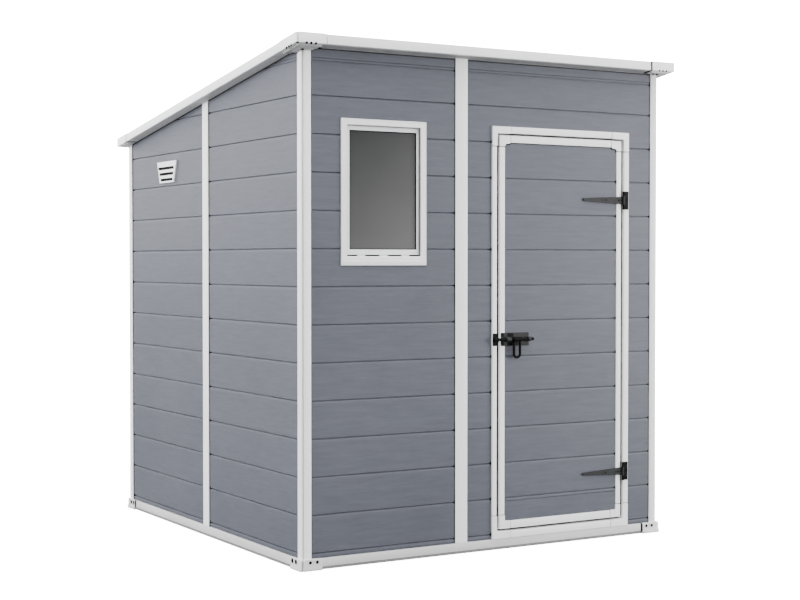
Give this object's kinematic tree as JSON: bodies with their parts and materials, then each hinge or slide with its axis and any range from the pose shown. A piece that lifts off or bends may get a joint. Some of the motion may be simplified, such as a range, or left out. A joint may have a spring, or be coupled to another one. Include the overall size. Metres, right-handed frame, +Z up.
{
  "type": "plastic garden shed with a pent roof",
  "caption": "Walk-in plastic garden shed with plank-look walls, a pent roof, a window, louvred side vents and a hinged door with a slide bolt.",
  "frame": {"origin": "on the ground, under the middle of the roof", "axes": "+X to the right along the front wall, +Y from front to back, +Z up"},
  "size_m": [1.84, 1.904, 2.053],
  "materials": {
    "wall_grey": "blue-grey moulded planks with fine horizontal wood grain",
    "trim_white": "smooth off-white moulded trim",
    "roof_grey": "light grey moulded roof panel",
    "floor_grey": "dark grey textured floor panel",
    "glazing": "grey tinted clear sheet",
    "black_iron": "black powder-coated steel"
  },
  "bodies": {
    "shell": {"foot_front_left": "trim_white", "foot_front_right": "trim_white", "foot_back_left": "trim_white", "foot_back_right": "trim_white", "base_rail_front": "trim_white", "base_rail_back": "trim_white", "base_rail_left": "trim_white", "base_rail_right": "trim_white", "floor": "floor_grey", "post_front_left": "trim_white", "post_front_right": "trim_white", "post_back_left": "trim_white", "post_back_right": "trim_white", "mid_post_front": "trim_white", "mid_post_back": "trim_white", "mid_post_left": "trim_white", "mid_post_right": "trim_white", "wall_front_window": "wall_grey", "wall_beside_door_left": "wall_grey", "wall_beside_door_right": "wall_grey", "wall_over_door": "wall_grey", "wall_left": "wall_grey", "wall_right": "wall_grey", "wall_back": "wall_grey", "window_frame": "trim_white", "window_sash": "trim_white", "window_glass": "glazing", "side_vents": "trim_white", "roof_panel_left": "roof_grey", "roof_panel_right": "roof_grey", "fascia_front": "trim_white", "fascia_back": "trim_white", "fascia_left": "trim_white", "fascia_right": "trim_white", "roof_corner_caps": "trim_white", "door_frame": "trim_white", "door_stop": "trim_white", "hinge_plates": "black_iron", "bolt_keeper": "black_iron"},
    "door": {"door_panel": "wall_grey", "door_rim": "trim_white", "hinge_straps": "black_iron", "bolt_plate": "black_iron"},
    "bolt": {"bolt_rod": "black_iron"},
    "handle": {"bolt_handle": "black_iron"}
  },
  "joints": [
    {"name": "door_hinge", "type": "hinge", "parent": "shell", "child": "door", "pos_m": [0.678, -0.909, 0.867], "axis": [0, 0, 1], "range_deg": [0, 120]},
    {"name": "bolt_slide", "type": "slide", "parent": "door", "child": "bolt", "axis": [1, 0, 0], "range_m": [0, 0.025]},
    {"name": "handle_swing", "type": "hinge", "parent": "bolt", "child": "handle", "pos_m": [0.116, -0.914, 0.867], "axis": [-1, 0, 0], "range_deg": [0, 90]}
  ]
}
